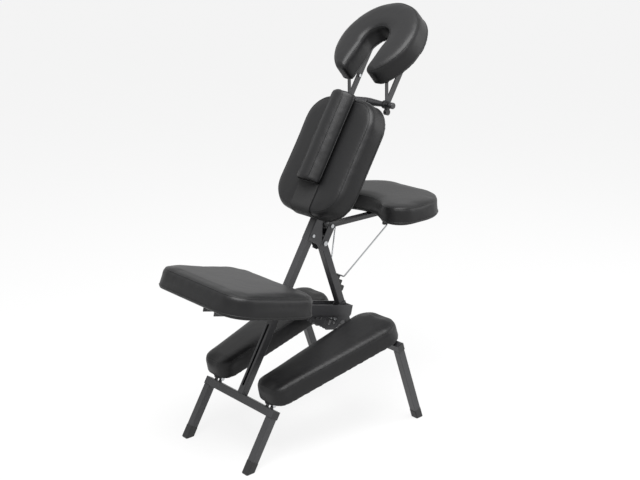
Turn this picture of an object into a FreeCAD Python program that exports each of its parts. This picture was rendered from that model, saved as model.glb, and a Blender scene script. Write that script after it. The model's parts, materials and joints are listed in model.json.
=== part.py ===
# Kneeling massage chair.
# X points the way the sitter faces, Y to the sitter's left, Z up, millimetres.
# The plan origin is the middle of the whole chair's footprint box, on the floor.
import FreeCAD, Part
import math
import os

os.makedirs("parts", exist_ok=True)
V = FreeCAD.Vector

# ---- driving sizes ----
tube = 25.0
tube_wall = 2.0
plate = 3.0
play = 0.35
rear_bar_height = 160.0
rear_half_track = 154.0
post_lean = 31.3
post_length = 965.0
front_bar_x = 448.0
front_bar_height = 275.0
front_half_track = 234.0
top_hinge_along = 541.0
top_hinge_out = 62.0
foot_size = 27.6
foot_length = 36.0

chest_low = 597.0
chest_length = 384.0
chest_width = 300.0
chest_thick = 73.0
chest_corner = 88.0
sternum_low = 690.0
sternum_length = 297.0
sternum_width = 94.0
sternum_thick = 44.0
strap_width = 86.0
strap_thick = 2.0

seat_pivot_along = 297.0
seat_tilt = 14.2
seat_rear = 348.0
seat_length = 336.0
seat_width = 412.0
seat_thick = 67.0
seat_corner = 72.0
rail_height = 35.0
rail_gap = 50.0
rail_front = 297.0
rail_rear = 270.0
lane_pin_along = 235.2
lane_pin_drop = 30.0
lane_pin_r = 5.0
fold_range = 10.0
seat_per_fold = 0.425

leg_rear = 5.0
leg_length = 490.0
leg_inner = 69.0
leg_rear_width = 122.0
leg_front_width = 186.0
leg_thick = 59.0
leg_lift = 25.0
leg_hinge_y = 128.0

arm_pivot_along = 600.0
arm_pivot_out = 60.0
arm_bar_height = 13.0
arm_rear = 122.0
arm_length = 262.0
arm_width = 390.0
arm_thick = 60.0
arm_hollow = 50.0
arm_lobe_r = 60.0
arm_front_r = 140.0
bail_wire_r = 2.5
bail_top_x = 147.0
bail_top_half = 112.0
bail_foot_half = 33.0
bail_foot_back = 38.0
bail_foot_drop = 172.5
rack_pitch = 22.0

stem = 20.0
stem_low = 720.0
rod_along = 1006.0
rod_out = 8.0
rod_r = 6.0
cradle_arm_y = 84.0
cradle_x = 555.4
cradle_z = 1216.5
cradle_lean = 47.1
cradle_r = 153.0
cradle_foot = 129.0
cradle_thick = 70.0
cradle_hole_r = 50.0
cradle_slot_half = 46.0

board = 10.0
board_inset = 12.0
rim_step = 1.0
half = tube / 2

# ---- plain helpers ----
# A frame is a slanted work plane: u along it, y sideways and w out of it.


class Slant:
    def __init__(self, x, z, rise):
        self.origin = V(x, 0, z)
        self.rise = rise
        a = math.radians(rise)
        self.along = V(math.cos(a), 0, math.sin(a))
        self.out = V(-math.sin(a), 0, math.cos(a))

    def at(self, u, w, y=0.0):
        return self.origin + self.along * u + self.out * w + V(0, y, 0)

    def find(self, point):
        d = point - self.origin
        return d.dot(self.along), d.dot(self.out)

    def place(self, shape):
        done = shape.copy()
        turn = FreeCAD.Rotation(V(0, 1, 0), -self.rise)
        done.Placement = FreeCAD.Placement(self.origin, turn).multiply(done.Placement)
        return done


def box(u0, u1, y0, y1, w0, w1):
    return Part.makeBox(u1 - u0, y1 - y0, w1 - w0, V(u0, y0, w0))


def slab(points, y0, y1):
    # a plate with its outline in the u-w plane
    wire = Part.makePolygon([V(u, y0, w) for u, w in points] + [V(points[0][0], y0, points[0][1])])
    return Part.Face(wire).extrude(V(0, y1 - y0, 0))


def peg(u, w, y0, y1, r):
    return Part.makeCylinder(r, y1 - y0, V(u, y0, w), V(0, 1, 0))


def stud(u, y, w0, w1, r):
    return Part.makeCylinder(r, w1 - w0, V(u, y, w0), V(0, 0, 1))


def tube_along(u0, u1, y=0.0, size=tube, wall=tube_wall):
    h = size / 2
    outer = box(u0, u1, y - h, y + h, -h, h)
    corner_edges = [e for e in outer.Edges if abs(abs(e.tangentAt(0).x) - 1) < 1e-6]
    outer = outer.makeFillet(2.0, corner_edges)
    return outer.cut(box(u0 - 1, u1 + 1, y - h + wall, y + h - wall, -h + wall, h - wall))


def tube_across(y0, y1, size=tube, wall=tube_wall):
    h = size / 2
    outer = box(-h, h, y0, y1, -h, h)
    corner_edges = [e for e in outer.Edges if abs(abs(e.tangentAt(0).y) - 1) < 1e-6]
    outer = outer.makeFillet(2.0, corner_edges)
    return outer.cut(box(-h + wall, h - wall, y0 - 1, y1 + 1, -h + wall, h - wall))


def round_outline(corners, radii):
    # closed outline in the u-y plane: straight sides with an arc at each corner
    n = len(corners)
    starts, ends, mids = [], [], []
    for i in range(n):
        p = V(corners[i][0], corners[i][1], 0)
        a = V(corners[i - 1][0], corners[i - 1][1], 0) - p
        b = V(corners[(i + 1) % n][0], corners[(i + 1) % n][1], 0) - p
        a.normalize()
        b.normalize()
        angle = a.getAngle(b)
        reach = radii[i] / math.tan(angle / 2)
        middle = a + b
        middle.normalize()
        centre = p + middle * (radii[i] / math.sin(angle / 2))
        starts.append(p + a * reach)
        ends.append(p + b * reach)
        mids.append(centre - middle * radii[i])
    edges = []
    for i in range(n):
        edges.append(Part.Arc(starts[i], mids[i], ends[i]).toShape())
        edges.append(Part.makeLine(ends[i], starts[(i + 1) % n]))
    return Part.Wire(edges)


def lift(wire, w):
    moved = wire.copy()
    moved.translate(V(0, 0, w))
    return moved


def block(wire, w0, w1):
    return Part.Face(lift(wire, w0)).extrude(V(0, 0, w1 - w0))


def rim_edges(shape, w):
    return [e for e in shape.Edges if abs(e.BoundBox.ZMin - w) < 1e-4 and abs(e.BoundBox.ZMax - w) < 1e-4]


def cushion(wire, w0, w1, r_face, r_back):
    body = block(wire, w0, w1)
    body = body.makeFillet(r_face, rim_edges(body, w1))
    return body.makeFillet(r_back, rim_edges(body, w0))


def pocketed(body, board_wire, w0):
    pocket = board_wire.makeOffset2D(0.4)
    return body.cut(block(pocket, w0 - 5, w0 + board))


def screw_head(u, y, w, r=5.0, tall=2.6):
    # a low round head that hangs under the plane w
    head = stud(u, y, w - tall, w, r)
    return head.makeFillet(1.2, rim_edges(head, w - tall))


def hex_head(u, w, y0, y1, across=15.0):
    r = across / math.sqrt(3)
    ring = [V(u + r * math.cos(math.radians(60 * i)), y0, w + r * math.sin(math.radians(60 * i)))
            for i in range(7)]
    return Part.Face(Part.makePolygon(ring)).extrude(V(0, y1 - y0, 0))


def bolt(u, w, r, reach, across=15.0, head=5.0):
    shank = peg(u, w, -reach, reach, r)
    near = hex_head(u, w, -reach - head, -reach, across)
    far = hex_head(u, w, reach, reach + head, across)
    return shank.fuse([near, far]).removeSplitter()


def bent_wire(points, r, bend):
    edges = []
    last = points[0]
    for i in range(1, len(points) - 1):
        p = points[i]
        a = points[i - 1] - p
        b = points[i + 1] - p
        a.normalize()
        b.normalize()
        angle = a.getAngle(b)
        reach = bend / math.tan(angle / 2)
        middle = a + b
        middle.normalize()
        centre = p + middle * (bend / math.sin(angle / 2))
        edges.append(Part.makeLine(last, p + a * reach))
        edges.append(Part.Arc(p + a * reach, centre - middle * bend, p + b * reach).toShape())
        last = p + b * reach
    edges.append(Part.makeLine(last, points[-1]))
    path = Part.Wire(edges)
    start = points[1] - points[0]
    ring = Part.Wire([Part.makeCircle(r, points[0], start)])
    return path.makePipeShell([ring], True, True)


nodes = {}


def keep(name, frame, shapes):
    if not isinstance(shapes, (list, tuple)):
        shapes = [shapes]
    placed = [frame.place(s) for s in shapes]
    nodes[name] = placed[0] if len(placed) == 1 else Part.makeCompound(placed)


def one_solid(shape):
    return shape.Solids[0] if len(shape.Solids) == 1 else shape


# ---- work planes ----
rear = Slant(0, rear_bar_height, 90 - post_lean)
hinge = rear.at(top_hinge_along, -top_hinge_out)
front_lean = math.degrees(math.atan2(front_bar_x - hinge.x, hinge.z - front_bar_height))
front = Slant(front_bar_x, front_bar_height, 90 + front_lean)
seat_pivot = rear.at(seat_pivot_along, 0)
seat = Slant(seat_pivot.x, seat_pivot.z, -seat_tilt)
leg_rise = math.degrees(math.atan2(front_bar_height - rear_bar_height, front_bar_x))
leg = Slant(0, rear_bar_height, leg_rise)
arm_pivot = rear.at(arm_pivot_along, -arm_pivot_out)
arm = Slant(arm_pivot.x, arm_pivot.z, 0)
cradle = Slant(cradle_x, cradle_z, 90 - cradle_lean)
rod = rear.at(rod_along, -rod_out)

# ---- rear frame ----
rear_end = rear_half_track + half
lug_u, lug_w = half + 11.5, -2.0
rear_bar = tube_across(-rear_end, rear_end)
for y0 in (leg_hinge_y - 12, leg_hinge_y + 9, -leg_hinge_y - 12, -leg_hinge_y + 9):
    # welded ears that carry the leg pads' hinge pins
    ear = peg(lug_u, lug_w, y0, y0 + plate, 6)
    ear = ear.fuse(box(half, lug_u, y0, y0 + plate, lug_w - 6, lug_w + 6)).removeSplitter()
    rear_bar = rear_bar.fuse(ear.cut(peg(lug_u, lug_w, y0 - 1, y0 + plate + 1, 4.05)))
keep("rear_crossbar", rear, rear_bar.removeSplitter())
plug_in = half - tube_wall - 0.2
plugs = []
for side in (-1, 1):
    cap = box(-half, half, min(side * rear_end, side * (rear_end + 2.5)),
              max(side * rear_end, side * (rear_end + 2.5)), -half, half)
    inner = box(-plug_in, plug_in, min(side * (rear_end - 12), side * rear_end),
                max(side * (rear_end - 12), side * rear_end), -plug_in, plug_in)
    plugs.append(cap.fuse(inner).removeSplitter())
keep("rear_end_plugs", rear, plugs)


def foot_cap(frame, y, floor_u, tube_end):
    # a rubber boot over the tube's end, cut level where it meets the floor
    h = foot_size / 2
    boot = box(floor_u - 20, tube_end + foot_length - 14, y - h, y + h, -h, h)
    along = [e for e in boot.Edges if abs(abs(e.tangentAt(0).x) - 1) < 1e-6]
    boot = boot.makeFillet(4.5, along)
    top_u = tube_end + foot_length - 14
    boot = boot.makeChamfer(2.0, [e for e in boot.Edges if abs(e.BoundBox.XMin - top_u) < 1e-4])
    boot = frame.place(boot)
    boot = boot.common(Part.makeBox(400, 900, 200, V(frame.at(floor_u, 0).x - 200, -450, 0)))
    low = [e for e in boot.Edges if e.BoundBox.ZMax < 1e-4]
    boot = boot.makeFillet(2.5, low)
    socket = box(tube_end, tube_end + foot_length, y - half - 0.05, y + half + 0.05, -half - 0.05, half + 0.05)
    return boot.cut(frame.place(socket))


rear_floor = -rear_bar_height / math.cos(math.radians(post_lean))
rear_tube_end = rear_floor + 16
rear_feet = []
for side, word in ((1, "left"), (-1, "right")):
    y = side * rear_half_track
    keep("rear_leg_" + word, rear, tube_along(rear_tube_end, -half, y))
    rear_feet.append(foot_cap(rear, y, rear_floor, rear_tube_end))
nodes["rear_feet"] = Part.makeCompound(rear_feet)

post_top = half + post_length
post = tube_along(half, post_top)
post = post.cut(box(40, 236, -4, 4, half - tube_wall - 1, half + 1))
post = post.cut(stud(40, 0, half - tube_wall - 1, half + 1, 4))
post = post.cut(stud(236, 0, half - tube_wall - 1, half + 1, 4))
post = post.cut(peg(seat_pivot_along, 0, -half - 1, half + 1, 5.05))
plate_bolts = ((545, -2), (610, -2))
for u, w in plate_bolts:
    post = post.cut(peg(u, w, -half - 1, half + 1, 3.05))
post = post.cut(peg(post_top - 10, 0, -half - 1, 0, 4.0 + play))
keep("main_post", rear, post)

hinge_plate = [(526, 10), (526, -34), (519, -47), (541, -47), (596, -17), (640, -11), (640, 10)]
for side, word in ((1, "left"), (-1, "right")):
    y0 = min(side * half, side * (half + plate))
    part_plate = slab(hinge_plate, y0, y0 + plate)
    for u, w in plate_bolts:
        part_plate = part_plate.cut(peg(u, w, y0 - 1, y0 + plate + 1, 3.05))
    keep("hinge_plate_" + word, rear, part_plate)
keep("hinge_bolts", rear, [bolt(u, w, 3.0, half + plate, 10.0, 3.5) for u, w in plate_bolts])

channel_in = half + 0.5
channel_out = channel_in + plate
channel_side = [(515, -47), (515, -66), (522, -74), (560, -74), (612, -74), (612, -47)]
channel = slab(channel_side, -channel_out, channel_out)
channel = channel.cut(box(500, 620, -channel_in, channel_in, -74 + plate, -40))
channel = channel.cut(box(500, 566, -channel_in, channel_in, -80, -40))
channel = channel.cut(box(589, 620, -channel_in, channel_in, -80, -40))
channel = channel.cut(peg(top_hinge_along, -top_hinge_out, -channel_out - 1, channel_out + 1, 5.05))
channel = channel.cut(peg(arm_pivot_along, -arm_pivot_out, -channel_out - 1, channel_out + 1, 4.05))
keep("hinge_channel", rear, channel)
keep("top_hinge_pin", rear, bolt(top_hinge_along, -top_hinge_out, 5.0, channel_out, 15.0, 4.5))
keep("arm_pivot_pin", rear, bolt(arm_pivot_along, -arm_pivot_out, 4.0, channel_out, 12.0, 4.0))

rail_in = rail_gap / 2
pivot = peg(seat_pivot_along, 0, -rail_in - plate - 1, rail_in + plate + 1, 5.0)
pivot = pivot.fuse([peg(seat_pivot_along, 0, half + 0.1, rail_in - 0.4, 9.0),
                    peg(seat_pivot_along, 0, -rail_in + 0.4, -half - 0.1, 9.0),
                    hex_head(seat_pivot_along, 0, rail_in + plate + 0.5, rail_in + plate + 6),
                    hex_head(seat_pivot_along, 0, -rail_in - plate - 6, -rail_in - plate - 0.5)])
keep("seat_pivot_pin", rear, pivot.removeSplitter())

leg_pins = []
for side in (1, -1):
    yc = side * leg_hinge_y
    pin = peg(lug_u, lug_w, yc - 16.5, yc + 16.5, 4.0)
    pin = pin.fuse([peg(lug_u, lug_w, yc + 16.2, yc + 19, 6.5), peg(lug_u, lug_w, yc - 19, yc - 16.2, 6.5)])
    leg_pins.append(pin.removeSplitter())
keep("leg_pins", rear, leg_pins)

# ---- chest pad ----
chest_high = chest_low + chest_length
hw = chest_width / 2
chest_wire = round_outline([(chest_low, -hw), (chest_high, -hw), (chest_high, hw), (chest_low, hw)],
                           [chest_corner] * 4)
chest_board_wire = chest_wire.makeOffset2D(-board_inset)
chest_face = half + chest_thick
chest = cushion(chest_wire, half + rim_step, chest_face, 20.0, 6.0)
keep("chest_pad", rear, pocketed(chest, chest_board_wire, half))
keep("chest_board", rear, block(chest_board_wire, half, half + board - rim_step + 0.6))
clips, chest_screws = [], []
for u0 in (chest_low + 62, chest_high - 90):
    u1 = u0 + 30
    hat = box(u0, u1, half, half + plate, -half - plate, half)
    hat = hat.fuse([box(u0, u1, -half - plate, -half, -half - plate, half),
                    box(u0, u1, -half, half, -half - plate, -half),
                    box(u0, u1, half + plate, 45, half - plate, half),
                    box(u0, u1, -45, -half - plate, half - plate, half)]).removeSplitter()
    clips.append(hat)
    for y in (-34, 34):
        chest_screws.append(screw_head(u0 + 15, y, half - plate))
keep("chest_clips", rear, clips)
keep("chest_screws", rear, chest_screws)

# sternum bolster: a half round cushion along the middle of the chest pad
sw = sternum_width / 2
s0, s1 = chest_face + 0.3, chest_face + 0.3 + sternum_thick
shoulder = 13.0
arch_mid = V(sternum_low, 0, s1)
arch = Part.Arc(V(sternum_low, -sw, s0 + shoulder), arch_mid, V(sternum_low, sw, s0 + shoulder)).toShape()
profile = Part.Wire([arch, Part.makeLine(V(sternum_low, sw, s0 + shoulder), V(sternum_low, sw, s0)),
                     Part.makeLine(V(sternum_low, sw, s0), V(sternum_low, -sw, s0)),
                     Part.makeLine(V(sternum_low, -sw, s0), V(sternum_low, -sw, s0 + shoulder))])
bolster = Part.Face(profile).extrude(V(sternum_length, 0, 0))
bolster_top = sternum_low + sternum_length
end_edges = [e for e in bolster.Edges
             if abs(e.BoundBox.XMin - bolster_top) < 1e-4 and e.BoundBox.ZMax > s0 + 1]
bolster = bolster.makeFillet(9.0, end_edges)
low_edges = [e for e in bolster.Edges
             if abs(e.BoundBox.XMax - sternum_low) < 1e-4 and e.BoundBox.ZMax > s0 + 1]
bolster = bolster.makeFillet(3.0, low_edges)
keep("sternum_pad", rear, bolster)


def strap_section(grow):
    r = 20.0 + grow
    lo, hi, top, bottom = chest_low - grow, sternum_low - 0.6, chest_face + grow, half + rim_step + 12
    edges = [Part.makeLine(V(hi, 0, top), V(lo + r, 0, top))]
    bend = math.sqrt(0.5) * r
    edges.append(Part.Arc(V(lo + r, 0, top), V(lo + r - bend, 0, top - r + bend), V(lo, 0, top - r)).toShape())
    edges.append(Part.makeLine(V(lo, 0, top - r), V(lo, 0, bottom)))
    return edges, V(hi, 0, top), V(lo, 0, bottom)


outer_edges, outer_a, outer_b = strap_section(0.3 + strap_thick)
inner_edges, inner_a, inner_b = strap_section(0.3)
ribbon = Part.Wire(Part.__sortEdges__(outer_edges + inner_edges
                                      + [Part.makeLine(outer_a, inner_a), Part.makeLine(outer_b, inner_b)]))
ribbon_face = Part.Face(ribbon)
ribbon_face.translate(V(0, -strap_width / 2, 0))
keep("sternum_strap", rear, ribbon_face.extrude(V(0, strap_width, 0)))

# ---- front frame ----
front_end = front_half_track + half
keep("front_crossbar", front, tube_across(-front_end, front_end))
plugs = []
for side in (-1, 1):
    cap = box(-half, half, min(side * front_end, side * (front_end + 2.5)),
              max(side * front_end, side * (front_end + 2.5)), -half, half)
    inner = box(-plug_in, plug_in, min(side * (front_end - 12), side * front_end),
                max(side * (front_end - 12), side * front_end), -plug_in, plug_in)
    plugs.append(cap.fuse(inner).removeSplitter())
keep("front_end_plugs", front, plugs)
front_floor = -front_bar_height / math.cos(math.radians(front_lean))
front_tube_end = front_floor + 14
front_feet = []
for side, word in ((1, "left"), (-1, "right")):
    y = side * front_half_track
    keep("front_leg_" + word, front, tube_along(front_tube_end, -half, y))
    front_feet.append(foot_cap(front, y, front_floor, front_tube_end))
nodes["front_feet"] = Part.makeCompound(front_feet)

hinge_u = front.find(hinge)[0]
strut = tube_along(half, hinge_u + 14)
strut = strut.cut(peg(hinge_u, 0, -half - 1, half + 1, 5.0 + play))

# lugs behind the strut hold the pin that runs in the seat's racks
lane_pin = seat.at(lane_pin_along, -lane_pin_drop)
pin_u, pin_w = front.find(lane_pin)
for side in (1, -1):
    y0 = min(side * half, side * (half + plate))
    ear = slab([(pin_u - 34, -half), (pin_u + 30, -half), (pin_u + 30, half), (pin_u + 9, pin_w + 4),
                (pin_u - 4, pin_w + 9), (pin_u - 11, pin_w), (pin_u - 34, half)], y0, y0 + plate)
    strut = strut.fuse(ear.cut(peg(pin_u, pin_w, y0 - 1, y0 + plate + 1, lane_pin_r + 0.05)))
keep("front_strut", front, one_solid(strut.removeSplitter()))
lane = peg(pin_u, pin_w, -rail_in + 0.7, rail_in - 0.7, lane_pin_r)
keep("lane_pin", front, lane)

# three ledges on the front of the strut for the armrest's wire
foot_point = arm.at(bail_top_x - (bail_top_x - bail_foot_back), -bail_foot_drop)
wire_u, wire_w = front.find(foot_point)
ledge_back = wire_w + bail_wire_r + 0.5
ledge_front = wire_w - bail_wire_r - 3.5
rise_u = 0.09 * (ledge_back - ledge_front)
rack_points = [(wire_u + 8, -half)]
for i in range(3):
    u = wire_u - rack_pitch * i
    floor_u = u - bail_wire_r - 1.2
    rack_points.append((u + (6 if i == 0 else 8), ledge_back))
    rack_points.append((floor_u, ledge_back))
    rack_points.append((floor_u + rise_u, ledge_front))
    rack_points.append((floor_u + rise_u - 4, ledge_front))
rack_points.append((wire_u - rack_pitch * 2 - 16, ledge_back))
rack_points.append((wire_u - rack_pitch * 2 - 16, -half))
keep("armrest_rack", front, slab(rack_points, -9, 9))

saddles = []
for side in (1, -1):
    yc = side * 178
    pad_block = box(half, half + 10.4, yc - 20, yc + 20, -10, 10)
    saddles.append(pad_block.makeFillet(2.0, [e for e in pad_block.Edges
                                              if e.BoundBox.XMin > half + 1]))
keep("leg_saddles", front, saddles)

# ---- leg pads ----
leg_end = leg_rear + leg_length
lug_point = rear.at(lug_u, lug_w)
hub_u, hub_w = leg.find(lug_point)
for side, word in ((1, "left"), (-1, "right")):
    a, b = leg_inner, leg_inner + leg_rear_width
    c, d = leg_inner + 3, leg_inner + 3 + leg_front_width
    wire = round_outline([(leg_rear, side * a), (leg_end, side * c), (leg_end, side * d), (leg_rear, side * b)],
                         [42, 58, 64, 46])
    board_wire = wire.makeOffset2D(-board_inset)
    pad = cushion(wire, leg_lift + rim_step, leg_lift + leg_thick, 17.0, 5.0)
    keep("leg_pad_" + word, leg, pocketed(pad, board_wire, leg_lift))
    keep("leg_board_" + word, leg, block(board_wire, leg_lift, leg_lift + board - rim_step + 0.6))
    yc = side * leg_hinge_y
    y0, y1 = yc - 15.6, yc + 15.6
    hook_u = leg.find(front.origin)[0] + half + 3.2
    strap_plate = box(10, hook_u + plate, yc - 15.6, yc + 15.6, leg_lift - plate, leg_lift)
    strap_plate = strap_plate.fuse(box(hook_u, hook_u + plate, yc - 15.6, yc + 15.6, 2, leg_lift))
    for e0 in (y0, y1 - plate):
        strap_plate = strap_plate.fuse(peg(hub_u, hub_w, e0, e0 + plate, 7))
        strap_plate = strap_plate.fuse(box(hub_u - 7, hub_u + 7, e0, e0 + plate, hub_w, leg_lift - 1))
    strap_plate = strap_plate.removeSplitter().cut(peg(hub_u, hub_w, y0 - 1, y1 + 1, 4.0 + play))
    for u in (70, 160, 300, 410):
        strap_plate = strap_plate.cut(stud(u, yc, leg_lift - 4, leg_lift - 1.4, 3.0))
    keep("leg_strap_" + word, leg, one_solid(strap_plate))

# ---- seat ----
seat_front = seat_length - seat_rear
hw = seat_width / 2
seat_wire = round_outline([(-seat_rear, -hw), (seat_front, -hw), (seat_front, hw), (-seat_rear, hw)],
                          [seat_corner] * 4)
seat_board_wire = seat_wire.makeOffset2D(-board_inset)
rail_half = rail_height / 2
pad = cushion(seat_wire, rail_half + rim_step, rail_half + seat_thick, 18.0, 6.0)
keep("seat_pad", seat, pocketed(pad, seat_board_wire, rail_half))
keep("seat_board", seat, block(seat_board_wire, rail_half, rail_half + board - rim_step + 0.6))
seat_screws = []
for side, word in ((1, "left"), (-1, "right")):
    y0 = min(side * rail_in, side * (rail_in + plate))
    web = box(-rail_rear, rail_front, y0, y0 + plate, -rail_half, rail_half)
    f0 = min(side * (rail_in + plate), side * (rail_in + 20))
    flange = box(-rail_rear, -40, f0, f0 + 20 - plate, rail_half - plate, rail_half)
    web = web.fuse(flange).removeSplitter().cut(peg(0, 0, y0 - 1, y0 + plate + 1, 5.0 + play))
    nose = [e for e in web.Edges if abs(e.BoundBox.XMin - rail_front) < 1e-4 and e.BoundBox.YLength > 2
            and e.BoundBox.ZMax < 0]
    keep("seat_rail_" + word, seat, web.makeFillet(5.0, nose))
    for u in (-245, -150, -60):
        seat_screws.append(screw_head(u, side * (rail_in + 12), rail_half - plate, 4.0, 2.4))
keep("seat_screws", seat, seat_screws)
keep("rail_nose", seat, box(rail_front - plate - 2, rail_front - 2, -rail_in, rail_in, rail_half - 9, rail_half))

fold_pin = []
for step in range(5):
    turn = math.radians(fold_range * step / 4)
    reach = lane_pin - hinge
    x = hinge.x + reach.x * math.cos(turn) + reach.z * math.sin(turn)
    z = hinge.z - reach.x * math.sin(turn) + reach.z * math.cos(turn)
    moved = Slant(seat_pivot.x, seat_pivot.z, -seat_tilt - seat_per_fold * fold_range * step / 4)
    fold_pin.append(moved.find(V(x, 0, z)))
lane_rear = min(u for u, w in fold_pin)
lane_sag = max(w for u, w in fold_pin) - min(w for u, w in fold_pin)
lane_r = lane_pin_r + 0.7 + lane_sag / 2
racks = []
for side in (1, -1):
    y0 = min(side * (rail_in - plate), side * rail_in)
    y1 = y0 + plate
    lane_w = -lane_pin_drop
    outline = [(118, rail_half - 6), (118, -rail_half - 4), (129, -39)]
    teeth = 5
    for i in range(teeth):
        u = 129 + (198 - 129) * i / teeth
        w = -39 + (-66 + 39) * i / teeth
        outline.append((u + 9, w - 1))
        outline.append((u + 13.8, w - 5.4))
    outline += [(240, -66), (262, -34), (288, -28), (288, rail_half - 6)]
    rack = slab(outline, y0, y1)
    cut = box(lane_rear, lane_pin_along, y0 - 1, y1 + 1, lane_w - lane_r, lane_w + lane_r)
    cut = cut.fuse([peg(lane_rear, lane_w, y0 - 1, y1 + 1, lane_r),
                    peg(lane_pin_along, lane_w, y0 - 1, y1 + 1, lane_r)])
    for u in (lane_pin_along, (lane_rear + lane_pin_along) / 2, lane_rear):
        cut = cut.fuse([slab([(u - lane_r, lane_w), (u + lane_r, lane_w), (u + lane_r - 5, lane_w - 13),
                              (u - lane_r - 5, lane_w - 13)], y0 - 1, y1 + 1),
                        peg(u - 5, lane_w - 13, y0 - 1, y1 + 1, lane_r)])
    window = box(140, 168, y0 - 1, y1 + 1, -31, -23)
    window = window.fuse([peg(140, -27, y0 - 1, y1 + 1, 4), peg(168, -27, y0 - 1, y1 + 1, 4)])
    racks.append(rack.cut(cut).cut(window))
keep("seat_racks", seat, racks)

# ---- armrest ----
bar_half = arm_bar_height / 2
arm_end = arm_rear + arm_length
bar = box(-10, arm_end - 60, -half, half, -bar_half, bar_half)
bar = bar.cut(peg(0, 0, -half - 1, half + 1, 4.0 + play))
keep("armrest_bar", arm, bar.makeFillet(3.0, [e for e in bar.Edges if e.BoundBox.XMin > arm_end - 61]))
hw = arm_width / 2


def arc_of(cu, cy, r, start, middle, end):
    ring = [V(cu + r * math.cos(math.radians(a)), cy + r * math.sin(math.radians(a)), 0)
            for a in (start, middle, end)]
    return Part.Arc(ring[0], ring[1], ring[2]).toShape()


# kidney outline: a hollow on the sitter's side flows into two lobes
lobe_y = hw - arm_lobe_r
lobe_u = arm_rear + arm_lobe_r
hollow_r = (arm_hollow ** 2 + lobe_y ** 2) / (2 * arm_hollow) - arm_lobe_r
hollow_u = arm_rear + arm_hollow - hollow_r
meet = math.degrees(math.atan2(lobe_y, lobe_u - hollow_u))
front_u, front_y = arm_end - arm_front_r, hw - arm_front_r
lobe_mid = (90 + 180 + meet) / 2
arm_edges = [arc_of(hollow_u, 0, hollow_r, -meet, 0, meet),
             arc_of(lobe_u, lobe_y, arm_lobe_r, 180 + meet, lobe_mid, 90),
             Part.makeLine(V(lobe_u, hw, 0), V(front_u, hw, 0)),
             arc_of(front_u, front_y, arm_front_r, 90, 45, 0),
             Part.makeLine(V(arm_end, front_y, 0), V(arm_end, -front_y, 0)),
             arc_of(front_u, -front_y, arm_front_r, 0, -45, -90),
             Part.makeLine(V(front_u, -hw, 0), V(lobe_u, -hw, 0)),
             arc_of(lobe_u, -lobe_y, arm_lobe_r, -90, -lobe_mid, -180 - meet)]
arm_wire = Part.Wire(arm_edges)
arm_board_wire = arm_wire.makeOffset2D(-board_inset)
pad = cushion(arm_wire, bar_half + rim_step, bar_half + arm_thick, 14.0, 5.0)
keep("armrest_pad", arm, pocketed(pad, arm_board_wire, bar_half))
keep("armrest_board", arm, block(arm_board_wire, bar_half, bar_half + board - rim_step + 0.6))
keep("armrest_screws", arm, [screw_head(u, 0, -bar_half, 4.5, 2.6) for u in (170, 240, 320)])
clip_w = bar_half - 5.0
clips = []
for side in (1, -1):
    yc = side * (bail_top_half - 6)
    clip = box(bail_top_x - 8, bail_top_x + 8, yc - 5, yc + 5, clip_w - 5.5, bar_half)
    clip = clip.makeFillet(3.0, [e for e in clip.Edges if e.BoundBox.ZMax < clip_w - 5])
    clips.append(clip.cut(peg(bail_top_x, clip_w, yc - 6, yc + 6, bail_wire_r + play)))
keep("bail_clips", arm, clips)
bail_path = []
for side in (1, -1):
    ends = [V(bail_top_x, side * (bail_top_half - 14), clip_w), V(bail_top_x, side * (bail_top_half + 7), clip_w),
            V(bail_foot_back, side * bail_foot_half, -bail_foot_drop)]
    bail_path += ends if side == 1 else ends[::-1]
keep("wire_bail", arm, bent_wire(bail_path, bail_wire_r, 6.0))

# ---- head stem and face cradle ----
collar_low, collar_high = post_top - 22, post_top + 2
collar = box(collar_low, collar_high, -16, 16, -16, half)
collar = collar.makeFillet(3.0, [e for e in collar.Edges if abs(abs(e.tangentAt(0).x) - 1) < 1e-6])
collar = collar.cut(box(collar_low - 1, post_top, -half - 0.05, half + 0.05, -half - 0.05, half + 0.05))
collar = collar.cut(box(collar_low, collar_high + 1, -stem / 2 - play, stem / 2 + play,
                        -stem / 2 - play, stem / 2 + play))
collar = collar.cut(peg(post_top - 10, 0, -20, 0, 4.0 + play))
keep("post_collar", rear, collar)
knob = peg(post_top - 10, 0, -26, -stem / 2 - 0.4, 4.0)
grip = peg(post_top - 10, 0, -40, -25, 12.0)
for i in range(6):
    a = math.radians(60 * i)
    grip = grip.cut(peg(post_top - 10 + 14.2 * math.cos(a), 14.2 * math.sin(a), -41, -24, 4.5))
keep("height_knob", rear, knob.fuse(grip).removeSplitter())

head_stem = tube_along(stem_low, rod_along, 0.0, stem, 2.0)
head_stem = head_stem.cut(peg(rod_along, -rod_out, -20, 20, 12.55))
keep("head_stem", rear, one_solid(head_stem))
arm_thick_y = 4.0
arm_in = cradle_arm_y - arm_thick_y / 2
arm_face = cradle_arm_y + arm_thick_y / 2
lathe_steps = [(-arm_face - 26, 0), (-arm_face - 26, rod_r), (11 - arm_in, rod_r), (11 - arm_in, 8), (-10.5, 12.5),
               (10.5, 12.5), (arm_in - 3, 8), (arm_in - 3, rod_r), (arm_face + 10, rod_r), (arm_face + 10, 0),
               (-arm_face - 26, 0)]
lathe = Part.makePolygon([V(rod_along + r, y, -rod_out) for y, r in lathe_steps])
head_rod = Part.Face(lathe).revolve(V(rod_along, 0, -rod_out), V(0, 1, 0), 360)
ends = [Part.makeCylinder(10, 13, V(rod_along, -arm_face - 28, -rod_out), V(0, 1, 0)),
        Part.makeCylinder(9, 8, V(rod_along, arm_face + 3, -rod_out), V(0, 1, 0))]
ends = [e.makeFillet(3.0, [x for x in e.Edges if x.BoundBox.YLength < 1e-4]) for e in ends]
keep("head_rod", rear, one_solid(head_rod.fuse(ends).removeSplitter()))

rod_u, rod_w = cradle.find(rod)
back = -cradle_thick - rim_step
wide_end_u = 30.0
thin_end_u = -106.0


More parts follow.
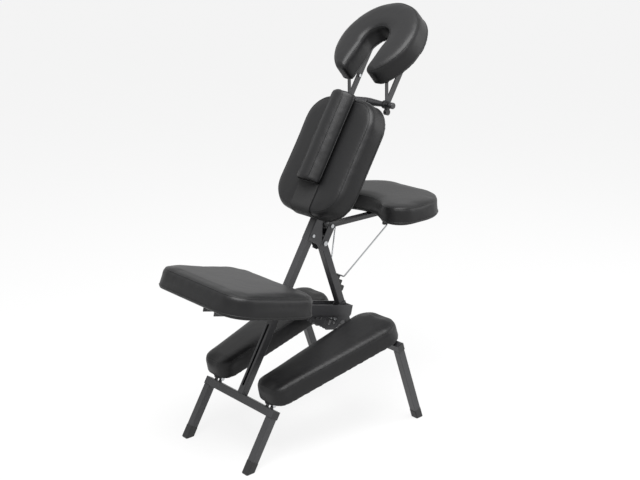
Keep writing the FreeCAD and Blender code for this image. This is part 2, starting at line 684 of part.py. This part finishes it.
def flat_bar(u0, w0, u1, w1, width, y):
    # a flat bar on edge, cut off level with the board's back
    d = V(u1 - u0, 0, w1 - w0)
    d.normalize()
    across = V(-d.z, 0, d.x) * (width / 2)
    start, end = V(u0, 0, w0), V(u1, 0, w1) + d * 30
    corners = [start + across, start - across, end - across, end + across]
    blade = slab([(c.x, c.z) for c in corners], y - arm_thick_y / 2, y + arm_thick_y / 2)
    return blade.cut(box(-300, 300, -300, 300, back, back + 200))


for side, word in ((1, "left"), (-1, "right")):
    y = side * cradle_arm_y
    hub = peg(rod_u, rod_w, y - arm_thick_y / 2, y + arm_thick_y / 2, 12.5)
    wide = flat_bar(rod_u, rod_w, wide_end_u, back - 6, 20.0, y)
    thin = flat_bar(rod_u, rod_w, thin_end_u, back - 2, 11.0, y)
    flange = box(wide_end_u - 44, wide_end_u + 26, y - 11, y + 11, back - plate, back)
    tab = box(thin_end_u - 10, thin_end_u + 12, y - 11, y + 11, back - plate, back)
    whole = hub.fuse([wide, thin, flange, tab]).removeSplitter()
    keep("cradle_arm_" + word, cradle, one_solid(whole.cut(peg(rod_u, rod_w, y - 9, y + 9, rod_r + play))))

bolts = []
for side in (1, -1):
    share = 0.42
    u = rod_u + (wide_end_u - rod_u) * share
    w = rod_w + (back - 6 - rod_w) * share
    head = Part.makeCylinder(5.5, 4.0, V(u, side * arm_in, w), V(0, -side, 0))
    rim = [e for e in head.Edges if abs(e.CenterOfMass.y - side * (arm_in - 4.0)) < 0.1]
    bolts.append(head.makeFillet(1.5, rim))
keep("cradle_bolts", cradle, bolts)

ring = Part.Face(Part.Wire([Part.makeCircle(cradle_r, V(0, 0, 0))]))
trim = Part.Face(Part.makePolygon([V(-cradle_foot, -300, 0), V(300, -300, 0), V(300, 300, 0),
                                   V(-cradle_foot, 300, 0), V(-cradle_foot, -300, 0)]))
hole = Part.Face(Part.Wire([Part.makeCircle(cradle_hole_r, V(-4, 0, 0))]))
slot = Part.Face(Part.makePolygon([V(-300, -cradle_slot_half, 0), V(-4, -cradle_slot_half, 0),
                                   V(-4, cradle_slot_half, 0), V(-300, cradle_slot_half, 0),
                                   V(-300, -cradle_slot_half, 0)]))
shoe = ring.common(trim).cut(hole.fuse(slot).removeSplitter()).removeSplitter()
shoe_block = shoe.Faces[0].extrude(V(0, 0, cradle_thick))
upright = [e for e in shoe_block.Edges if e.BoundBox.ZLength > cradle_thick - 1 and e.BoundBox.XMax < -cradle_foot + 1]
shoe_block = shoe_block.makeFillet(12.0, upright)
shoe_wire = [f for f in shoe_block.Faces if f.BoundBox.ZMax < 1e-4][0].OuterWire
shoe_pad = cushion(shoe_wire, -cradle_thick, 0, 17.0, 5.0)
shoe_board_wire = shoe_wire.makeOffset2D(-9.0)
keep("cradle_pad", cradle, pocketed(shoe_pad, shoe_board_wire, -cradle_thick - rim_step))
keep("cradle_board", cradle, block(shoe_board_wire, back, back + board - rim_step + 0.6))
cradle_screws = []
for side in (1, -1):
    for u in (wide_end_u - 36, wide_end_u + 18, thin_end_u):
        cradle_screws.append(screw_head(u, side * (cradle_arm_y - 7), back - plate, 3.4, 2.2))
keep("cradle_screws", cradle, cradle_screws)

# cam that clamps the cradle's tilt, on the spindle's right end
wheel_high = 10.0 - arm_in
wheel_low = wheel_high - 9.4
cam = peg(rod_along, -rod_out, wheel_low, wheel_high, 13.0)
for i in range(16):
    a = math.radians(22.5 * i)
    cam = cam.cut(peg(rod_along + 14.2 * math.cos(a), -rod_out + 14.2 * math.sin(a),
                      wheel_low - 1, wheel_high + 1, 1.9))
cam = cam.cut(peg(rod_along, -rod_out, wheel_low - 1, wheel_high + 1, rod_r + play))
keep("cam_wheel", rear, cam)
lever_y1 = -arm_face - 0.6
lever = peg(rod_along, -rod_out, lever_y1 - 8, lever_y1, 11.0)
lever = lever.fuse(slab([(rod_along - 4, -rod_out - 9), (rod_along - 4, -rod_out + 9),
                         (rod_along - 24, -rod_out + 2), (rod_along - 24, -rod_out - 10)],
                        lever_y1 - 8, lever_y1))
lever = lever.fuse(peg(rod_along - 22, -rod_out - 4, lever_y1 - 12, lever_y1 + 0.0, 9.5)).removeSplitter()
lever = lever.cut(peg(rod_along, -rod_out, lever_y1 - 20, lever_y1 + 1, rod_r + play))
keep("cam_lever", rear, one_solid(lever))

# ---- move the plan origin to the middle of the footprint box ----
# the exact box, because the quick one is loose round curved faces
whole = Part.makeCompound(list(nodes.values())).optimalBoundingBox(False, False)
shift = V(-(whole.XMin + whole.XMax) / 2, -(whole.YMin + whole.YMax) / 2, -whole.ZMin)
for name, shape in nodes.items():
    moved = shape.copy()
    moved.translate(shift)
    moved.exportStep("parts/" + name + ".step")
print("nodes", len(nodes))
print("box", [round(v, 1) for v in (whole.XLength, whole.YLength, whole.ZLength)], "shift", shift)
foot_mid = rear.at(rear_floor, 0, rear_half_track)
places = {"top hinge": hinge, "seat pivot": seat_pivot, "leg hinge": lug_point, "arm pivot": arm_pivot,
          "bail top": arm.at(bail_top_x, clip_w), "rod": rod,
          "rear foot": foot_mid, "cradle middle": cradle.origin,
          "height knob": rear.at(post_top - 10, 0), "lane pin": lane_pin}
for name, point in places.items():
    p = point + shift
    print(name, [round(v / 1000, 5) for v in (p.x, p.y, p.z)])
print("lane path", [(round(u, 2), round(w, 2)) for u, w in fold_pin])
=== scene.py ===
import json
import math

import bmesh
import bpy
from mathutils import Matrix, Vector, noise


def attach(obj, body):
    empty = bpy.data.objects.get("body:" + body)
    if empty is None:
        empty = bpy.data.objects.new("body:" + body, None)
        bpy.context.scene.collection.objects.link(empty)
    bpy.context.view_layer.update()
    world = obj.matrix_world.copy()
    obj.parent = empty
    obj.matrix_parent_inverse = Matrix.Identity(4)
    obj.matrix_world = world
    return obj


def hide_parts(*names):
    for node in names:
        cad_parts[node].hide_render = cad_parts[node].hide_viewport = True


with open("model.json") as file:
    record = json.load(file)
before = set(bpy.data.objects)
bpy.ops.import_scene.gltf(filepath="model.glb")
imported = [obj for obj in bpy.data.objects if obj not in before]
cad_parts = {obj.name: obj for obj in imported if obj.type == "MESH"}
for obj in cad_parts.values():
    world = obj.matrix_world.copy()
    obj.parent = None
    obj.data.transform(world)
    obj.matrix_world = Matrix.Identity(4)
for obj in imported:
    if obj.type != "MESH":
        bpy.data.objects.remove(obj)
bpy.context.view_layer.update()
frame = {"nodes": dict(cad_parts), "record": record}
nodes = frame["nodes"]
print("frame loaded,", len(nodes), "nodes")


# small helpers
def linear(hexColour):
    # sRGB hex to the linear colour that shaders take, by the standard's own curve
    values = [int(hexColour[i:i + 2], 16) / 255 for i in (1, 3, 5)]
    curve = [v / 12.92 if v <= 0.04045 else ((v + 0.055) / 1.055) ** 2.4 for v in values]
    return curve + [1.0]


def addNode(tree, kind, **settings):
    made = tree.nodes.new(kind)
    for key, value in settings.items():
        setattr(made, key, value)
    return made


def newMaterial(name):
    made = bpy.data.materials.new(name)
    made.use_nodes = True
    return made, made.node_tree, made.node_tree.nodes["Principled BSDF"]


def bumpFrom(tree, shader, layers):
    # layers are (noise scale per metre, height in metres), laid over each other
    coords = addNode(tree, "ShaderNodeTexCoord")
    last = None
    for scale, height in layers:
        grain = addNode(tree, "ShaderNodeTexNoise")
        grain.inputs["Scale"].default_value = scale
        grain.inputs["Detail"].default_value = 2.0
        tree.links.new(coords.outputs["Object"], grain.inputs["Vector"])
        bump = addNode(tree, "ShaderNodeBump")
        bump.inputs["Distance"].default_value = height
        bump.inputs["Strength"].default_value = 1.0
        tree.links.new(grain.outputs["Fac"], bump.inputs["Height"])
        if last:
            tree.links.new(last.outputs["Normal"], bump.inputs["Normal"])
        last = bump
    tree.links.new(last.outputs["Normal"], shader.inputs["Normal"])


class Plane:
    # a slanted work plane through x and z that rises by some degrees; w is the height out of it
    def __init__(self, x, z, rise):
        a = math.radians(rise)
        self.origin = Vector((x, 0, z))
        self.out = Vector((-math.sin(a), 0, math.cos(a)))

    def w(self, point):
        return (point - self.origin).dot(self.out)

    def at(self, w):
        return self.origin + self.out * w


# materials
# ripples are 25 mm apart and the pebble grain 1.1 mm; each layer is (per metre, height in metres)
vinyl = {"colour": "#121213", "roughness": 0.46, "specular": 0.3,
         "layers": [(40, 0.0006), (900, 0.0001)]}


def blackVinyl():
    # black coated upholstery fabric: fine pebble grain over soft ripples
    made, tree, shader = newMaterial("blackVinyl")
    shader.inputs["Base Color"].default_value = linear(vinyl["colour"])
    shader.inputs["Roughness"].default_value = vinyl["roughness"]
    shader.inputs["Specular IOR Level"].default_value = vinyl["specular"]
    bumpFrom(tree, shader, vinyl["layers"])
    return made


# the orange peel is 1.7 mm across
paint = {"colour": "#303032", "roughness": 0.38, "layers": [(600, 0.00004)]}


def powderCoat():
    # satin charcoal powder coat with faint orange peel
    made, tree, shader = newMaterial("powderCoat")
    shader.inputs["Base Color"].default_value = linear(paint["colour"])
    shader.inputs["Roughness"].default_value = paint["roughness"]
    bumpFrom(tree, shader, paint["layers"])
    return made


def plain(name, colour, roughness, metal=0.0):
    # one even colour, for small parts whose grain can't be seen
    made, tree, shader = newMaterial(name)
    shader.inputs["Base Color"].default_value = linear(colour)
    shader.inputs["Roughness"].default_value = roughness
    shader.inputs["Metallic"].default_value = metal
    return made


# a wave of scale 210 puts the ribs 1.5 mm apart
strap = {"colour": "#0b0b0c", "roughness": 0.75, "ribScale": 210.0, "ribHeight": 0.0003}


def wovenStrap():
    # flat woven strap: dull black with fine ribs across it
    made, tree, shader = newMaterial("wovenStrap")
    shader.inputs["Base Color"].default_value = linear(strap["colour"])
    shader.inputs["Roughness"].default_value = strap["roughness"]
    coords = addNode(tree, "ShaderNodeTexCoord")
    ribs = addNode(tree, "ShaderNodeTexWave", bands_direction="Y")
    ribs.inputs["Scale"].default_value = strap["ribScale"]
    tree.links.new(coords.outputs["Object"], ribs.inputs["Vector"])
    bump = addNode(tree, "ShaderNodeBump")
    bump.inputs["Distance"].default_value = strap["ribHeight"]
    tree.links.new(ribs.outputs["Fac"], bump.inputs["Height"])
    tree.links.new(bump.outputs["Normal"], shader.inputs["Normal"])
    return made


looks = {
    "upholstery": blackVinyl(),
    "frame_paint": powderCoat(),
    # dark stained plywood, matt and a little warm
    "board": plain("stainedBoard", "#1c1b1a", 0.6),
    "webbing": wovenStrap(),
    # black rubber with a dull, wide highlight
    "rubber_foot": plain("footRubber", "#161617", 0.55),
    # smooth black plastic with a tighter shine than the rubber
    "black_plastic": plain("mouldedPlastic", "#19191a", 0.35),
    # pale zinc plate that mirrors the room softly
    "bright_steel": plain("zincSteel", "#b4b6b8", 0.3, 1.0),
}
slotOf = {s["node"]: s["material_slot"] for s in frame["record"]["subparts"]}
for name, node in nodes.items():
    node.data.materials.clear()
    node.data.materials.append(looks[slotOf[name]])
print("materials done")

# cushions, in metres
rearPlane = Plane(-0.28487, 0.160, 58.7)
seatPlane = Plane(-0.13057, 0.41377, -14.2)
legPlane = Plane(-0.28487, 0.160, 14.397)
armPlane = Plane(0.07811, 0.6415, 0)
cradlePlane = Plane(0.27053, 1.2165, 42.9)

# back and face are heights over the work plane, and cap is how far the foam may swell;
# flatHalf is half the width of a strip that stays flat, under the bolster
cushions = {
    "seat_pad": {"body": "seat", "plane": seatPlane,
                 "back": 0.0185, "face": 0.0845, "cap": 0.005, "seed": 1},
    "chest_pad": {"body": "rear_frame", "plane": rearPlane,
                  "back": 0.0135, "face": 0.0855, "cap": 0.003, "seed": 2,
                  "flatHalf": 0.05, "seamDrop": 0.003},
    "sternum_pad": {"body": "rear_frame", "plane": rearPlane,
                    "back": 0.0858, "face": 0.1298, "cap": 0.002, "seed": 3},
    "leg_pad_left": {"body": "left_leg_rest", "plane": legPlane,
                     "back": 0.026, "face": 0.084, "cap": 0.004, "seed": 4},
    "leg_pad_right": {"body": "right_leg_rest", "plane": legPlane,
                      "back": 0.026, "face": 0.084, "cap": 0.004, "seed": 5},
    "armrest_pad": {"body": "armrest", "plane": armPlane,
                    "back": 0.0075, "face": 0.0665, "cap": 0.004, "seed": 6},
    "cradle_pad": {"body": "cradle", "plane": cradlePlane,
                   "back": -0.070, "face": 0.0, "cap": 0.003, "seed": 7},
}
foam = {"voxel": 0.0055, "pressure": 4.0, "frames": 20, "pinDepth": 0.010, "evenOut": 8,
        "mergeWithin": 0.00001}


def applyModifiers(piece):
    graph = bpy.context.evaluated_depsgraph_get()
    mesh = bpy.data.meshes.new_from_object(piece.evaluated_get(graph))
    piece.modifiers.clear()
    piece.data = mesh


def swell(piece, plane, back, cap, flatHalf):
    rest = [v.co.copy() for v in piece.data.vertices]
    held = piece.vertex_groups.new(name="held")
    held.add([v.index for v in piece.data.vertices
              if plane.w(v.co) < back + foam["pinDepth"] or abs(v.co.y) < flatHalf], 1.0, "REPLACE")
    cloth = piece.modifiers.new("cloth", "CLOTH")
    cloth.settings.use_pressure = True
    cloth.settings.uniform_pressure_force = foam["pressure"]
    cloth.settings.effector_weights.gravity = 0.0
    cloth.settings.vertex_group_mass = "held"
    cloth.point_cache.frame_end = foam["frames"]
    for step in range(1, foam["frames"] + 1):
        bpy.context.scene.frame_set(step)
    applyModifiers(piece)
    moves = [v.co - start for v, start in zip(piece.data.vertices, rest)]
    moves = [m * (cap / m.length) if m.length > cap else m for m in moves]
    # even out the swelling, so that the foam crowns without lumps
    for _ in range(foam["evenOut"]):
        total = [m.copy() for m in moves]
        share = [1] * len(moves)
        for edge in piece.data.edges:
            a, b = edge.vertices
            total[a] += moves[b]
            total[b] += moves[a]
            share[a] += 1
            share[b] += 1
        moves = [t / k for t, k in zip(total, share)]
    for v, start, move in zip(piece.data.vertices, rest, moves):
        v.co = start + (move if abs(start.y) >= flatHalf else Vector((0, 0, 0)))
    piece.vertex_groups.clear()
    bpy.context.scene.frame_set(1)


# depths and spans in metres, patterns per metre
gathers = {"backClear": 0.004, "rimDrop": 0.016, "rimSpan": 0.022, "hemRise": 0.012,
           "hemSpan": 0.014, "edgeDepth": 0.0007, "edgePattern": 55,
           "faceDepth": 0.0006, "facePattern": 12}


def pucker(piece, plane, back, face, seed, flatHalf):
    # small gathers where the cover is pulled over the rims
    offset = Vector((seed * 7.3, seed * 3.1, seed * 5.7))
    normals = [v.normal.copy() for v in piece.data.vertices]
    for v, normal in zip(piece.data.vertices, normals):
        w = plane.w(v.co)
        if w < back + gathers["backClear"] or abs(v.co.y) < flatHalf:
            continue
        rim = max(0.0, 1 - abs(w - (face - gathers["rimDrop"])) / gathers["rimSpan"])
        hem = max(0.0, 1 - abs(w - (back + gathers["hemRise"])) / gathers["hemSpan"])
        edgeWave = noise.noise(v.co * gathers["edgePattern"] + offset)
        atEdge = gathers["edgeDepth"] * (rim + hem) * edgeWave
        allOver = gathers["faceDepth"] * noise.noise(v.co * gathers["facePattern"] + offset)
        v.co += normal * (atEdge + allOver)


def beadAlong(name, points, radius):
    # a thin round bead that runs once round a closed line
    curve = bpy.data.curves.new(name, "CURVE")
    curve.dimensions = "3D"
    curve.bevel_depth = radius
    curve.bevel_resolution = 1
    line = curve.splines.new("POLY")
    line.points.add(len(points) - 1)
    for target, p in zip(line.points, points):
        target.co = (p.x, p.y, p.z, 1)
    line.use_cyclic_u = True
    holder = bpy.data.objects.new(name + "Line", curve)
    bpy.context.scene.collection.objects.link(holder)
    graph = bpy.context.evaluated_depsgraph_get()
    mesh = bpy.data.meshes.new_from_object(holder.evaluated_get(graph))
    bpy.data.objects.remove(holder)
    for face in mesh.polygons:
        face.use_smooth = True
    made = bpy.data.objects.new(name, mesh)
    bpy.context.scene.collection.objects.link(made)
    return made


# joinWithin is how near two points are before they count as one
beadSizes = {"seamDrop": 0.006, "seamRadius": 0.0014, "hemRise": 0.009, "hemRadius": 0.0021,
             "pointGap": 0.005, "fewestPoints": 12, "softenings": 3, "joinWithin": 1e-6}


def sliceLoop(piece, plane, w):
    # the longest closed line where the plane at height w cuts the piece
    bm = bmesh.new()
    bm.from_mesh(piece.data)
    cut = bmesh.ops.bisect_plane(bm, geom=bm.verts[:] + bm.edges[:] + bm.faces[:],
                                 dist=beadSizes["joinWithin"],
                                 plane_co=plane.at(w), plane_no=plane.out)
    edges = {e for e in cut["geom_cut"] if isinstance(e, bmesh.types.BMEdge)}
    best = []
    while edges:
        first = edges.pop()
        line = [first.verts[0], first.verts[1]]
        step = first
        while step is not None:
            step = next((e for e in line[-1].link_edges if e in edges), None)
            if step is not None:
                edges.discard(step)
                line.append(step.other_vert(line[-1]))
        if len(line) > len(best):
            best = line
    points = [v.co.copy() for v in best]
    bm.free()
    if len(points) > 3 and (points[0] - points[-1]).length < beadSizes["joinWithin"]:
        points.pop()
    return points


def evenly(points, gap):
    # the same closed line with points about gap apart, softened a little
    kept = [points[0]]
    for p in points[1:]:
        if (p - kept[-1]).length >= gap:
            kept.append(p)
    for _ in range(beadSizes["softenings"]):
        kept = [(kept[i - 1] + kept[i] * 2 + kept[(i + 1) % len(kept)]) / 4
                for i in range(len(kept))]
    return kept


for name, c in cushions.items():
    mesh = nodes[name].data.copy()
    mesh.materials.clear()
    bm = bmesh.new()
    bm.from_mesh(mesh)
    bmesh.ops.remove_doubles(bm, verts=bm.verts[:], dist=foam["mergeWithin"])
    bm.to_mesh(mesh)
    bm.free()
    piece = bpy.data.objects.new(name + "_cover", mesh)
    bpy.context.scene.collection.objects.link(piece)
    remesh = piece.modifiers.new("remesh", "REMESH")
    remesh.mode = "VOXEL"
    remesh.voxel_size = foam["voxel"]
    applyModifiers(piece)
    swell(piece, c["plane"], c["back"], c["cap"], c.get("flatHalf", 0))
    pucker(piece, c["plane"], c["back"], c["face"], c["seed"], c.get("flatHalf", 0))
    for face in piece.data.polygons:
        face.use_smooth = True
    piece.data.materials.clear()
    piece.data.materials.append(looks["upholstery"])
    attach(piece, c["body"])
    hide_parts(name)
    # a seam round the face's rim and a hem near the board
    seamDrop = c.get("seamDrop", beadSizes["seamDrop"])
    seamLine = ("seam", c["face"] - seamDrop, beadSizes["seamRadius"])
    hemLine = ("hem", c["back"] + beadSizes["hemRise"], beadSizes["hemRadius"])
    for label, w, radius in (seamLine, hemLine):
        points = sliceLoop(piece, c["plane"], w)
        if len(points) > beadSizes["fewestPoints"]:
            spaced = evenly(points, beadSizes["pointGap"])
            bead = beadAlong(name + "_" + label, spaced, radius)
            bead.data.materials.clear()
            bead.data.materials.append(looks["upholstery"])
            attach(bead, c["body"])
    smooth = piece.modifiers.new("subdivision", "SUBSURF")
    smooth.levels = 1
    smooth.render_levels = 1
    print("cushion", name, len(piece.data.vertices))
print("cushions done")

# room, light and camera
def seenAsPaper(tree):
    # 1 for camera, glossy and transmission rays, so that the room looks the same white in
    # every reflection
    path = addNode(tree, "ShaderNodeLightPath")
    first = addNode(tree, "ShaderNodeMath", operation="MAXIMUM")
    second = addNode(tree, "ShaderNodeMath", operation="MAXIMUM")
    tree.links.new(path.outputs["Is Camera Ray"], first.inputs[0])
    tree.links.new(path.outputs["Is Glossy Ray"], first.inputs[1])
    tree.links.new(first.outputs[0], second.inputs[0])
    tree.links.new(path.outputs["Is Transmission Ray"], second.inputs[1])
    return second.outputs[0]


# paperShare is how much of the floor shows as plain white rather than lit
studio = {"paperShare": 0.85, "floor": "#ffffff", "floorRoughness": 0.9, "floorReach": 60.0,
          "floorDrop": 0.0005, "worldStrength": 0.3}
keyLight = {"place": (-0.6, -0.8, 3.2), "target": (0, 0, 0.5), "size": 2.2, "power": 150.0}
fillLight = {"place": (2.4, -1.8, 1.6), "target": (0.1, 0, 0.7), "size": 1.6, "power": 22.0}
viewer = {"place": (-2.0691, -2.3559, 1.5744), "looking": (0.6377, 0.7116, -0.2946),
          "lens": 59.06, "sensor": 36.0}

bm = bmesh.new()
bmesh.ops.create_grid(bm, x_segments=1, y_segments=1, size=studio["floorReach"])
bmesh.ops.translate(bm, verts=bm.verts[:], vec=(0, 0, -studio["floorDrop"]))
floorMesh = bpy.data.meshes.new("studio_floor")
bm.to_mesh(floorMesh)
bm.free()
floor = bpy.data.objects.new("studio_floor", floorMesh)
bpy.context.scene.collection.objects.link(floor)
# matt white paper that fades into the room and still takes a faint shadow
floorLook, tree, shader = newMaterial("paleFloor")
shader.inputs["Base Color"].default_value = linear(studio["floor"])
shader.inputs["Roughness"].default_value = studio["floorRoughness"]
paper = addNode(tree, "ShaderNodeEmission")
paper.inputs["Color"].default_value = linear(studio["floor"])
mix = addNode(tree, "ShaderNodeMixShader")
share = addNode(tree, "ShaderNodeMath", operation="MULTIPLY")
share.inputs[1].default_value = studio["paperShare"]
tree.links.new(seenAsPaper(tree), share.inputs[0])
tree.links.new(share.outputs[0], mix.inputs[0])
tree.links.new(shader.outputs["BSDF"], mix.inputs[1])
tree.links.new(paper.outputs["Emission"], mix.inputs[2])
tree.links.new(mix.outputs["Shader"], tree.nodes["Material Output"].inputs["Surface"])
floor.data.materials.append(floorLook)

world = bpy.data.worlds.new("studio")
bpy.context.scene.world = world
world.use_nodes = True
tree = world.node_tree
sky = tree.nodes["Background"]
sky.inputs["Color"].default_value = (1, 1, 1, 1)
level = addNode(tree, "ShaderNodeMapRange")
level.inputs["To Min"].default_value = studio["worldStrength"]
level.inputs["To Max"].default_value = 1.0
tree.links.new(seenAsPaper(tree), level.inputs["Value"])
tree.links.new(level.outputs["Result"], sky.inputs["Strength"])


def areaLight(name, facts):
    data = bpy.data.lights.new(name, "AREA")
    data.size = facts["size"]
    data.energy = facts["power"]
    lamp = bpy.data.objects.new(name, data)
    lamp.location = facts["place"]
    aim = Vector(facts["target"]) - Vector(facts["place"])
    lamp.rotation_euler = aim.to_track_quat("-Z", "Y").to_euler()
    bpy.context.scene.collection.objects.link(lamp)


areaLight("keyLight", keyLight)
areaLight("fillLight", fillLight)

cameraData = bpy.data.cameras.new("camera")
cameraData.lens = viewer["lens"]
cameraData.sensor_width = viewer["sensor"]
camera = bpy.data.objects.new("camera", cameraData)
camera.location = viewer["place"]
camera.rotation_euler = Vector(viewer["looking"]).to_track_quat("-Z", "Y").to_euler()
bpy.context.scene.collection.objects.link(camera)
bpy.context.scene.camera = camera
bpy.context.scene.view_settings.view_transform = "Standard"
